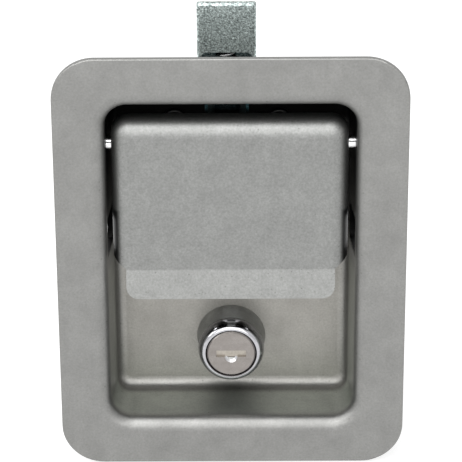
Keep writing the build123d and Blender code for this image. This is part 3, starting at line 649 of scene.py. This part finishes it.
def describe_sheets() -> list[Metal]:
    """Describe the finishes of the pressed and the sintered pieces.

    Returns:
        The finishes, not yet built.
    """
    rolled = {
        "rough": 0.46, "rough_spread": 0.04, "streak": Grain.ALONG_Z, "streak_share": 0.15,
        "contrast": 0.4, "grain_scale": 1500.0, "bump": 0.10,
    }
    return [
        Zoned(
            Finish.PAN_SHEET, "zinc_sheet", (0.222, 0.222, 0.215), (0.288, 0.288, 0.279), **rolled,
            patch_scale=110.0, speckle=0.10, pit_scale=900.0, pit_share=0.12,
            pit_colour=(0.18, 0.18, 0.17), toward=(0.0, 5 * MM, 8 * MM),
            zones=(
                PAN_FLOOR, PAN_BOTTOM_WALL, PAN_LEFT_WALL, PAN_RIGHT_WALL,
                *PAN_SIDE_GAP.both_sides(), PAN_TOP_GAP, *PAN_CLIP_SLOT.both_sides(),
            ),
        ),
        Zoned(
            Finish.PADDLE_SHEET, "zinc_sheet", (0.222, 0.225, 0.219), (0.290, 0.294, 0.286),
            **rolled, patch_scale=120.0, speckle=0.16, pit_scale=950.0, pit_share=0.2,
            pit_colour=(0.17, 0.17, 0.165), shade_closed=0.03, shade_open=0.20,
            zones=(*PADDLE_FLANK.both_sides(), PADDLE_TAB),
        ),
        Metal(
            Finish.SMALL_SHEET, "zinc_sheet", (0.33, 0.335, 0.325), (0.45, 0.452, 0.44), 0.36,
            patch_scale=140.0, grain_scale=1800.0, bump=0.08,
        ),
        Zoned(
            Finish.SINTERED_BOLT, "sintered_steel", (0.21, 0.245, 0.238), (0.60, 0.68, 0.665),
            0.45, rough_spread=0.1, patch_scale=1300.0, streak_share=0.0, contrast=0.75,
            grain_scale=1900.0, speckle=0.9, pit_scale=1700.0, pit_share=0.45,
            pit_colour=(0.04, 0.05, 0.05), bump=0.5, bump_depth=0.2 * MM, shade_reach=12 * MM,
            # Painted shade: the bolt's pocket is darkened to dark teal, and its foot zone is darkened.
            shade_closed=0.1, shade_open=0.45, shade_colour=(0.045, 0.125, 0.148),
            zones=(BOLT_FOOT,),
        ),
    ]


def describe_hardware() -> list[Metal]:
    """Describe the finishes of the wire, the pin, the rivets, the studs and the washers.

    Returns:
        The finishes, not yet built.
    """
    plate_dark, plate_light = (0.44, 0.445, 0.44), (0.58, 0.585, 0.57)
    return [
        Metal(
            Finish.SPRING_WIRE, "spring_steel", (0.42, 0.42, 0.425), (0.55, 0.55, 0.555), 0.24,
            patch_scale=300.0,
        ),
        Metal(
            Finish.BRIGHT_PIN, "spring_steel", (0.80, 0.80, 0.80), (0.90, 0.90, 0.90), 0.30,
            patch_scale=300.0, shade_closed=0.0, shade_open=0.05,
        ),
        Metal(
            Finish.BRIGHT_PLATE, "plated_steel", plate_dark, plate_light, 0.27,
            patch_scale=250.0, bump=0.06,
        ),
        # Painted shade: the rivet heads in the top gap are darkened by the zone.
        Zoned(
            Finish.SHADED_RIVET, "plated_steel", plate_dark, plate_light, 0.32,
            patch_scale=250.0, bump=0.06, zones=(RIVET_HEADS,),
        ),
    ]


def describe_lock() -> list[Metal]:
    """Describe the finishes of the key lock.

    Returns:
        The finishes, not yet built.
    """
    bezel_low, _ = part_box("lock_bezel")
    cap_low, cap_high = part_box("plug_cap")
    cap_centre = (cap_low + cap_high) / 2
    unshaded = {"shade_closed": 0.0, "shade_open": 0.05}
    brushed = {"patch_scale": 420.0, "streak": Grain.ALONG_X, "streak_share": 0.45, "bump": 0.05}
    return [
        Threaded(
            Finish.LOCK_BARREL, "lock_casting", (0.31, 0.315, 0.305), (0.40, 0.405, 0.395), 0.52,
            patch_scale=220.0, bump=0.08, thread_axis=(cap_centre.x, 0.0, cap_centre.z),
            thread_from=24.5 * MM,
        ),
        ShadedSideRim(
            Finish.BEZEL_CHROME, "bright_chrome", (0.42, 0.42, 0.44), (0.50, 0.50, 0.52), 0.13,
            rough_spread=0.03, patch_scale=200.0, pit_share=0.02, bump=0.01,
            # Painted dark reflection on the ring's side, from 1.8 mm to 4.3 mm behind its front.
            side_from=bezel_low.y + 1.8 * MM, side_to=bezel_low.y + 4.3 * MM,
            shade_closed=0.0, shade_open=0.1,
        ),
        HighlitDimple(
            Finish.PLUG_FACE, "satin_steel", (0.235, 0.215, 0.200), (0.32, 0.30, 0.285), 0.30,
            **brushed, **unshaded, speckle=0.05, dimple_radius=2.1 * MM,
            dimple_at=(cap_centre.x, 0.0, cap_centre.z - 1.1 * MM),
        ),
        Metal(
            Finish.FLAP_STEEL, "satin_steel", (0.36, 0.33, 0.29), (0.45, 0.42, 0.37), 0.35,
            **brushed, **unshaded,
        ),
        Metal(
            Finish.WAFER_BRASS, "wafer_brass", (0.50, 0.36, 0.14), (0.66, 0.50, 0.24), 0.30,
            patch_scale=300.0, bump=0.05,
        ),
    ]


@dataclass
class FinishSet:
    """Every finish of the latch, built once."""

    groups: Groups = field(default_factory=Groups)
    built: dict[Finish, bpy.types.Material] = field(default_factory=dict)
    recipes: dict[Finish, Metal] = field(default_factory=dict)

    def __post_init__(self) -> None:
        """Describe and build the finishes."""
        for recipe in describe_sheets() + describe_hardware() + describe_lock():
            self.recipes[recipe.name] = recipe
            self.built[recipe.name] = recipe.build(self.groups)

    def put_on_node(self, node: str, finish: Finish) -> None:
        """Give a CAD node one of the finishes.

        Args:
            node: Name of the node.
            finish: Finish that it wears.
        """
        part = frame["nodes"][node]
        if not part.material_slots:
            part.data.materials.append(self.built[finish])
        for held in part.material_slots:
            held.material = self.built[finish]

    def put_on_piece(self, piece: bpy.types.Object, finish: Finish) -> None:
        """Give a modelled piece one of the finishes.

        Args:
            piece: The piece.
            finish: Finish that it wears.
        """
        piece.data.materials.clear()
        piece.data.materials.append(self.built[finish])


# ------------------------------------------------------------------ mesh helpers
def close_mesh(mesh: bmesh.types.BMesh, merge: float = 0.001 * MM) -> None:
    """Merge doubled vertices, close open rims and point the faces outwards.

    Args:
        mesh: Mesh to close.
        merge: Distance within which vertices are one.
    """
    bmesh.ops.remove_doubles(mesh, verts=mesh.verts, dist=merge)
    rims = [edge for edge in mesh.edges if edge.is_boundary]
    if rims:
        bmesh.ops.holes_fill(mesh, edges=rims, sides=0)
    bmesh.ops.recalc_face_normals(mesh, faces=mesh.faces)


def make_piece(name: str, mesh: bmesh.types.BMesh, sharp: float = 40.0) -> bpy.types.Object:
    """Turn a finished bmesh into an object at the origin.

    Args:
        name: Name of the piece.
        mesh: Shape with its place in its vertices.
        sharp: Angle in degrees above which an edge stays sharp.

    Returns:
        The new object.
    """
    data = bpy.data.meshes.new(name)
    mesh.to_mesh(data)
    mesh.free()
    data.shade_smooth()
    data.set_sharp_from_angle(angle=math.radians(sharp))
    piece = bpy.data.objects.new(name, data)
    bpy.context.scene.collection.objects.link(piece)
    return piece


def spin_outline(
    mesh: bmesh.types.BMesh, outline: list[Vector], centre: Vector, axis: Vector, steps: int
) -> None:
    """Turn an open outline a full turn about an axis.

    Args:
        mesh: Mesh that gets the surface.
        outline: Points of the outline, in order.
        centre: Point on the axis.
        axis: Direction of the axis.
        steps: Facets round the turn.
    """
    points = [mesh.verts.new(point) for point in outline]
    edges = [mesh.edges.new(pair) for pair in zip(points, points[1:])]
    bmesh.ops.spin(
        mesh, geom=points + edges, cent=centre, axis=axis, angle=FULL_TURN, steps=steps,
        use_merge=True, use_normal_flip=False, use_duplicate=False,
    )


@dataclass
class Wire:
    """A round wire that grows from one end by straight runs and coils."""

    mesh: bmesh.types.BMesh
    radius: float
    sides: int = 12
    tip: list = field(default_factory=list)

    def start(self, place: Vector, heading: Vector) -> None:
        """Begin the wire with a closed flat end.

        Args:
            place: Middle of the wire's end.
            heading: Direction in which the wire leaves.
        """
        turn = heading.normalized().to_track_quat("Z", "Y").to_matrix().to_4x4()
        ring = bmesh.ops.create_circle(
            self.mesh, cap_ends=True, radius=self.radius, segments=self.sides,
            matrix=Matrix.Translation(place) @ turn,
        )["verts"]
        rim = {edge for vert in ring for edge in vert.link_edges}
        self.tip = list(ring) + list(rim)

    def tip_edges(self) -> list[bmesh.types.BMEdge]:
        """Give the edges round the wire's growing end."""
        return [item for item in self.tip if isinstance(item, bmesh.types.BMEdge)]

    def run(self, travel: Vector) -> None:
        """Draw the wire on in a straight line.

        Args:
            travel: Way from the wire's end to its new end.
        """
        made = bmesh.ops.extrude_edge_only(self.mesh, edges=self.tip_edges())["geom"]
        verts = [item for item in made if isinstance(item, bmesh.types.BMVert)]
        bmesh.ops.translate(self.mesh, verts=verts, vec=travel)
        edges = [item for item in made if isinstance(item, bmesh.types.BMEdge)]
        kept = set(verts)
        self.tip = verts + [edge for edge in edges if kept.issuperset(edge.verts)]

    def coil(
        self, centre: Vector, axis: Vector, turns: float, pitch: float, steps: int = 40
    ) -> None:
        """Wind the wire about an axis.

        Args:
            centre: Point on the coil's axis.
            axis: Direction of the axis, by which the turns follow the right hand.
            turns: Number of turns.
            pitch: Travel along the axis for each turn.
            steps: Steps in each turn.
        """
        count = max(2, round(turns * steps))
        direction = axis.normalized()
        made = bmesh.ops.spin(
            self.mesh, geom=self.tip, cent=centre, axis=direction,
            dvec=direction * (pitch * turns / count), angle=FULL_TURN * turns, steps=count,
            use_merge=False, use_normal_flip=False, use_duplicate=False,
        )["geom_last"]
        self.tip = list(made)

    def finish(self) -> None:
        """Close the wire's far end."""
        bmesh.ops.contextual_create(self.mesh, geom=self.tip_edges())
        bmesh.ops.recalc_face_normals(self.mesh, faces=self.mesh.faces)


def add_thread(
    mesh: bmesh.types.BMesh, start: Vector, axis: Vector, length: float, crest: float, root: float,
    pitch: float, steps: int, flat_share: float = 0.1,
) -> None:
    """Wind a V thread with narrow flat crests about an axis.

    Args:
        mesh: Mesh that gets the thread.
        start: Point on the axis where the thread begins.
        axis: Direction in which the thread runs.
        length: Length of the thread.
        crest: Radius of the crest.
        root: Radius of the root.
        pitch: Travel of one turn.
        steps: Facets in each turn.
        flat_share: Half of the crest's width, as a share of the pitch.
    """
    along = axis.normalized()
    out = along.orthogonal().normalized()
    turns = max(1, int(length / pitch) - 1)
    flat = flat_share * pitch
    profile = [
        (root, 0.0),
        (crest, pitch / 2 - flat),
        (crest, pitch / 2 + flat),
        (root, pitch),
    ]
    points = [mesh.verts.new(start + out * radius + along * rise) for radius, rise in profile]
    edges = [mesh.edges.new(pair) for pair in zip(points, points[1:])]
    bmesh.ops.spin(
        mesh, geom=points + edges, cent=start, axis=along, dvec=along * (pitch / steps),
        angle=FULL_TURN * turns, steps=steps * turns, use_merge=False, use_normal_flip=False,
        use_duplicate=False,
    )


# ------------------------------------------------------------------ sub-assemblies
@dataclass
class DressedNodes:
    """CAD nodes that keep their shape and take a finish."""

    finishes: FinishSet
    wearing: dict[str, Finish] = field(default_factory=dict)

    def dress(self) -> dict[str, Finish]:
        """Give every node its finish.

        Returns:
            Each node's name with its finish.
        """
        for node, finish in self.wearing.items():
            self.finishes.put_on_node(node, finish)
        return self.wearing


@dataclass
class PressedParts(DressedNodes):
    """The pan, the paddle and the other plain pressed and turned CAD parts."""

    wearing: dict[str, Finish] = field(
        default_factory=lambda: {
            "pan": Finish.PAN_SHEET,
            "paddle": Finish.PADDLE_SHEET,
            "trip_lever": Finish.SMALL_SHEET,
            "lock_hook": Finish.SMALL_SHEET,
            "bolt_housing": Finish.SMALL_SHEET,
            "bolt": Finish.SINTERED_BOLT,
            "pivot_pin": Finish.BRIGHT_PIN,
            "spring_guide": Finish.BRIGHT_PLATE,
            "housing_rivets": Finish.SHADED_RIVET,
            "panel_studs": Finish.BRIGHT_PLATE,
            "bolt_spring": Finish.SPRING_WIRE,
            "paddle_spring": Finish.SPRING_WIRE,
        }
    )


@dataclass
class CylinderLock(DressedNodes):
    """The cam lock under the paddle: barrel, plug, flap, wafers, nut and cam."""

    wearing: dict[str, Finish] = field(
        default_factory=lambda: {
            "lock_body": Finish.LOCK_BARREL,
            "plug_cap": Finish.PLUG_FACE,
            "lock_plug": Finish.BRIGHT_PLATE,
            "key_shutter": Finish.FLAP_STEEL,
            "shutter_pin": Finish.SPRING_WIRE,
            "wafers": Finish.WAFER_BRASS,
            "wafer_springs": Finish.SPRING_WIRE,
            "lock_washer": Finish.BRIGHT_PLATE,
            "lock_nut": Finish.BRIGHT_PLATE,
            "stop_washer": Finish.BRIGHT_PLATE,
            "lock_cam": Finish.SMALL_SHEET,
            "cam_washer": Finish.BRIGHT_PLATE,
            "cam_screw": Finish.BRIGHT_PLATE,
        }
    )


@dataclass
class BezelRing:
    """The crowned bright ring round the lock's plug."""

    finishes: FinishSet
    bore: float = 8.2 * MM
    bore_edge: float = 0.3 * MM
    crest: float = 0.2 * MM
    crown: float = 3.9 * MM
    swell: float = 0.54 * MM
    crown_steps: int = 14
    turn_steps: int = 144
    sharp: float = 35.0

    def build(self) -> bpy.types.Object:
        """Turn the ring.

        Returns:
            The ring.
        """
        low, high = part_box("lock_bezel")
        middle = (low + high) / 2
        outer = (high.x - low.x) / 2
        front = self.bore + self.crest
        bulge = outer + self.swell - front
        outline = [(self.bore, high.y), (self.bore, low.y + self.bore_edge)]
        for step in range(self.crown_steps + 1):
            turn = math.pi / 2 * step / self.crown_steps
            depth = low.y + self.crown * (1 - math.cos(turn))
            outline.append((front + bulge * math.sin(turn), depth))
        outline += [(outer, high.y), (self.bore, high.y)]
        mesh = bmesh.new()
        spin_outline(
            mesh, [Vector((middle.x + radius, depth, middle.z)) for radius, depth in outline],
            Vector((middle.x, 0, middle.z)), INWARD, self.turn_steps,
        )
        close_mesh(mesh)
        piece = make_piece("bezel_ring", mesh, self.sharp)
        self.finishes.put_on_piece(piece, Finish.BEZEL_CHROME)
        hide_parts("lock_bezel")
        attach(piece, Body.FRAME.value)
        return piece


@dataclass
class WeldStuds:
    """Four threaded studs welded to the back of the flange."""

    finishes: FinishSet
    pitch: float = 1.27 * MM
    thread_depth: float = 0.65 * MM
    plain: float = 1.2 * MM
    point: float = 0.8 * MM
    core_lap: float = 0.05 * MM
    point_step: float = 0.1 * MM
    tip_step: float = 0.6 * MM
    thread_start: float = 0.7
    thread_end: float = 0.6
    sides: int = 28

    def outline(self, foot: Vector, length: float, crest: float) -> list[Vector]:
        """Draw half of one stud's core.

        Args:
            foot: Middle of the stud's foot.
            length: Length of the stud.
            crest: Radius of the thread's crest.

        Returns:
            Points from the foot to the tip.
        """
        root = crest - self.thread_depth
        steps = [
            (0.0, 0.0),
            (crest, 0.0),
            (crest, self.plain),
            (root + self.core_lap, self.plain + self.thread_depth),
            (root + self.core_lap, length - self.point - self.thread_depth),
            (root - self.point_step, length - self.point),
            (root - self.tip_step, length),
            (0.0, length),
        ]
        return [foot + RIGHT * radius + INWARD * rise for radius, rise in steps]

    def build(self) -> bpy.types.Object:
        """Model the studs and put them in place of the plain ones.

        Returns:
            The four studs as one piece.
        """
        low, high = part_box("panel_studs")
        dims = frame["record"]["mounts"][0]["dims"]
        length = high.y - low.y
        crest = dims["stud_r_mm"] * MM
        threaded = length - self.plain - self.point * self.thread_end
        mesh = bmesh.new()
        for side in (-1, 1):
            for end in (-1, 1):
                x, z = side * dims["spacing_x_mm"] / 2 * MM, end * dims["spacing_y_mm"] / 2 * MM
                foot = Vector((x, low.y, z))
                spin_outline(mesh, self.outline(foot, length, crest), foot, INWARD, self.sides)
                add_thread(
                    mesh, foot + INWARD * (self.plain * self.thread_start), INWARD, threaded,
                    crest, crest - self.thread_depth, self.pitch, self.sides,
                )
        close_mesh(mesh)
        piece = make_piece("threaded_studs", mesh)
        self.finishes.put_on_piece(piece, Finish.BRIGHT_PLATE)
        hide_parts("panel_studs")
        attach(piece, Body.FRAME.value)
        return piece


@dataclass
class BoltCoil:
    """Compression spring between the pan's tab and the bolt, with closed ends."""

    finishes: FinishSet
    wire: float = 0.45 * MM
    active_turns: float = 5.2
    end_turns: float = 1.0
    end_pitch: float = 0.99 * MM
    squeezed: float = 0.453
    sharp: float = 60.0

    def build(self) -> bpy.types.Object:
        """Wind the spring.

        Returns:
            The spring.
        """
        low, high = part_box("bolt_spring")
        middle = (low + high) / 2
        mean = (high.x - low.x) / 2 - self.wire
        foot = Vector((middle.x, middle.y, low.z + self.wire))
        rise = (high.z - low.z) - 2 * self.wire - 2 * self.end_pitch * self.end_turns
        mesh = bmesh.new()
        wire = Wire(mesh, self.wire)
        wire.start(foot + RIGHT * mean, INWARD)
        wire.coil(foot, UP, self.end_turns, self.end_pitch)
        wire.coil(foot, UP, self.active_turns, rise / self.active_turns)
        wire.coil(foot, UP, self.end_turns, self.end_pitch)
        wire.finish()
        piece = make_piece("bolt_coil", mesh, self.sharp)
        self.finishes.put_on_piece(piece, Finish.SPRING_WIRE)
        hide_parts("bolt_spring")
        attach(piece, Body.FRAME.value)
        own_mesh(piece)
        return piece


@dataclass
class PaddleCoil:
    """Torsion spring on the pivot pin, with one leg on the pan and one on the paddle."""

    finishes: FinishSet
    wire: float = 0.7 * MM
    mean: float = 3.4 * MM
    pitch: float = 1.6 * MM
    turns: float = 4.3233
    floor_lean: float = 60.0
    floor_leg: float = 14.95 * MM
    paddle_leg: float = 12.5 * MM
    sharp: float = 60.0

    def build(self) -> bpy.types.Object:
        """Wind the spring with one leg on the pan and one on the paddle.

        Returns:
            The spring.
        """
        pivot = next(joint for joint in frame["joints"] if joint["name"] == "paddle_pivot")
        low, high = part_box("paddle_spring")
        centre = Vector((low.x + self.wire, pivot["pos_m"][1], pivot["pos_m"][2]))
        lean = math.radians(self.floor_lean)
        first = centre + self.mean * Vector((0, math.cos(lean), math.sin(lean)))
        heading = Vector((0, -math.sin(lean), math.cos(lean)))
        done = lean + FULL_TURN * self.turns
        mesh = bmesh.new()
        wire = Wire(mesh, self.wire)
        wire.start(first - heading * self.floor_leg, heading)
        wire.run(heading * self.floor_leg)
        wire.coil(centre, RIGHT, self.turns, self.pitch)
        wire.run(Vector((0, -math.sin(done), math.cos(done))) * self.paddle_leg)
        wire.finish()
        piece = make_piece("paddle_coil", mesh, self.sharp)
        self.finishes.put_on_piece(piece, Finish.SPRING_WIRE)
        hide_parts("paddle_spring")
        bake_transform(piece)
        return piece


# ------------------------------------------------------------------ studio
@dataclass(frozen=True)
class Softbox:
    """A rectangular soft lamp that faces the latch; at level 1 its face is white."""

    name: str
    place: Triple
    size: Span
    level: float

    def build(self) -> None:
        """Hang the lamp."""
        lamp = bpy.data.lights.new(self.name, "AREA")
        lamp.shape = "RECTANGLE"
        lamp.size, lamp.size_y = self.size
        lamp.energy = self.level * math.pi * self.size[0] * self.size[1]
        holder = bpy.data.objects.new(self.name, lamp)
        holder.rotation_mode = "QUATERNION"
        holder.rotation_quaternion = (-Vector(self.place)).to_track_quat("-Z", "Y")
        holder.location = self.place
        bpy.context.scene.collection.objects.link(holder)


@dataclass
class Studio:
    """Pale floor, plain soft light and the camera."""

    distance: float = 0.82195
    azimuth: float = 0.2048
    elevation: float = 24.6396
    roll: float = -0.3328
    lens: float = 203.6
    film_width: float = 36.0
    nearest: float = 10 * MM
    target: Triple = (-0.00009, 0.0, 0.0117856)
    floor_reach: float = 4.0
    floor_drop: float = 0.4 * MM
    floor_glow: float = 0.74
    floor_albedo: float = 0.42
    sky_seen: float = 1.0
    sky_light: float = 0.55
    softboxes: tuple[Softbox, ...] = (
        Softbox("overhead", (-0.30, -0.25, 1.0), (1.3, 0.82), 2.75),
        Softbox("left", (-1.2, -0.55, 0.75), (0.8, 0.8), 2.4),
        Softbox("front", (0.0, -1.4, 0.82), (2.0, 1.4), 1.8),
    )

    def place_camera(self) -> None:
        """Put the camera at its angle and make it the scene's camera."""
        side = math.radians(self.azimuth)
        tilt = math.radians(self.elevation)
        turn = math.radians(self.roll)
        back = Vector(
            (math.sin(side) * math.cos(tilt), -math.cos(side) * math.cos(tilt), math.sin(tilt))
        )
        right = Vector((math.cos(side), math.sin(side), 0))
        up = back.cross(right)
        rolled_right = right * math.cos(turn) + up * math.sin(turn)
        rolled_up = up * math.cos(turn) - right * math.sin(turn)
        data = bpy.data.cameras.new("camera")
        data.lens = self.lens
        data.sensor_width = self.film_width
        data.clip_start = self.nearest
        camera = bpy.data.objects.new("camera", data)
        place = Vector(self.target) + back * self.distance
        basis = Matrix((rolled_right, rolled_up, back)).transposed()
        camera.matrix_world = Matrix.Translation(place) @ basis.to_4x4()
        bpy.context.scene.collection.objects.link(camera)
        bpy.context.scene.camera = camera

    def seen_directly(self, graph: Graph) -> Socket:
        """Find the rays from the camera, from gloss and through glass.

        Args:
            graph: Node tree that gets the nodes.

        Returns:
            A mask that is 1 for these rays and 0 for the others.
        """
        path = graph.node("ShaderNodeLightPath").outputs
        first = graph.math("MAXIMUM", path["Is Camera Ray"], path["Is Glossy Ray"])
        return graph.math("MAXIMUM", first, path["Is Transmission Ray"])

    def lay_floor(self) -> None:
        """Lay the pale floor under the latch."""
        low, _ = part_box("pan")
        mesh = bmesh.new()
        bmesh.ops.create_grid(
            mesh, x_segments=1, y_segments=1, size=self.floor_reach,
            matrix=Matrix.Translation((0, 0, low.z - self.floor_drop)),
        )
        floor = make_piece("floor", mesh)
        material = bpy.data.materials.new("pale_floor")
        graph = clear_graph(material)
        matt = graph.node("ShaderNodeBsdfDiffuse", {"Color": (self.floor_albedo,) * 3 + (1.0,)})
        strength = graph.math("MULTIPLY", self.seen_directly(graph), self.floor_glow)
        glow = graph.node("ShaderNodeEmission", {"Strength": strength})
        both = graph.node(
            "ShaderNodeAddShader", {0: matt.outputs["BSDF"], 1: glow.outputs["Emission"]}
        )
        graph.node("ShaderNodeOutputMaterial", {"Surface": both.outputs["Shader"]})
        floor.data.materials.append(material)

    def light_world(self) -> None:
        """Surround the latch with a plain pale world."""
        world = bpy.data.worlds.new("plain_world")
        graph = clear_graph(world)
        level = graph.ramp(self.seen_directly(graph), 0.0, 1.0, self.sky_light, self.sky_seen)
        sky = graph.node(
            "ShaderNodeBackground", {"Color": (1.0, 1.0, 1.0, 1.0), "Strength": level}
        )
        graph.node("ShaderNodeOutputWorld", {"Surface": sky.outputs["Background"]})
        bpy.context.scene.world = world

    def build(self) -> None:
        """Build the whole studio."""
        self.place_camera()
        self.lay_floor()
        self.light_world()
        for softbox in self.softboxes:
            softbox.build()
        bpy.context.scene.view_settings.view_transform = "Standard"


def main() -> None:
    """Build the studio and every sub-assembly in order."""
    logging.basicConfig(level=logging.INFO)
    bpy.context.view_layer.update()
    Studio().build()
    finishes = FinishSet()
    for nodes in (PressedParts(finishes), CylinderLock(finishes)):
        for node, finish in nodes.dress().items():
            LOG.info("node %s wears %s", node, finish.value)
    for maker in (BezelRing, WeldStuds, BoltCoil, PaddleCoil):
        piece = maker(finishes).build()
        LOG.info("piece %s has %d faces", piece.name, len(piece.data.polygons))


if __name__ == "__main__":
    main()
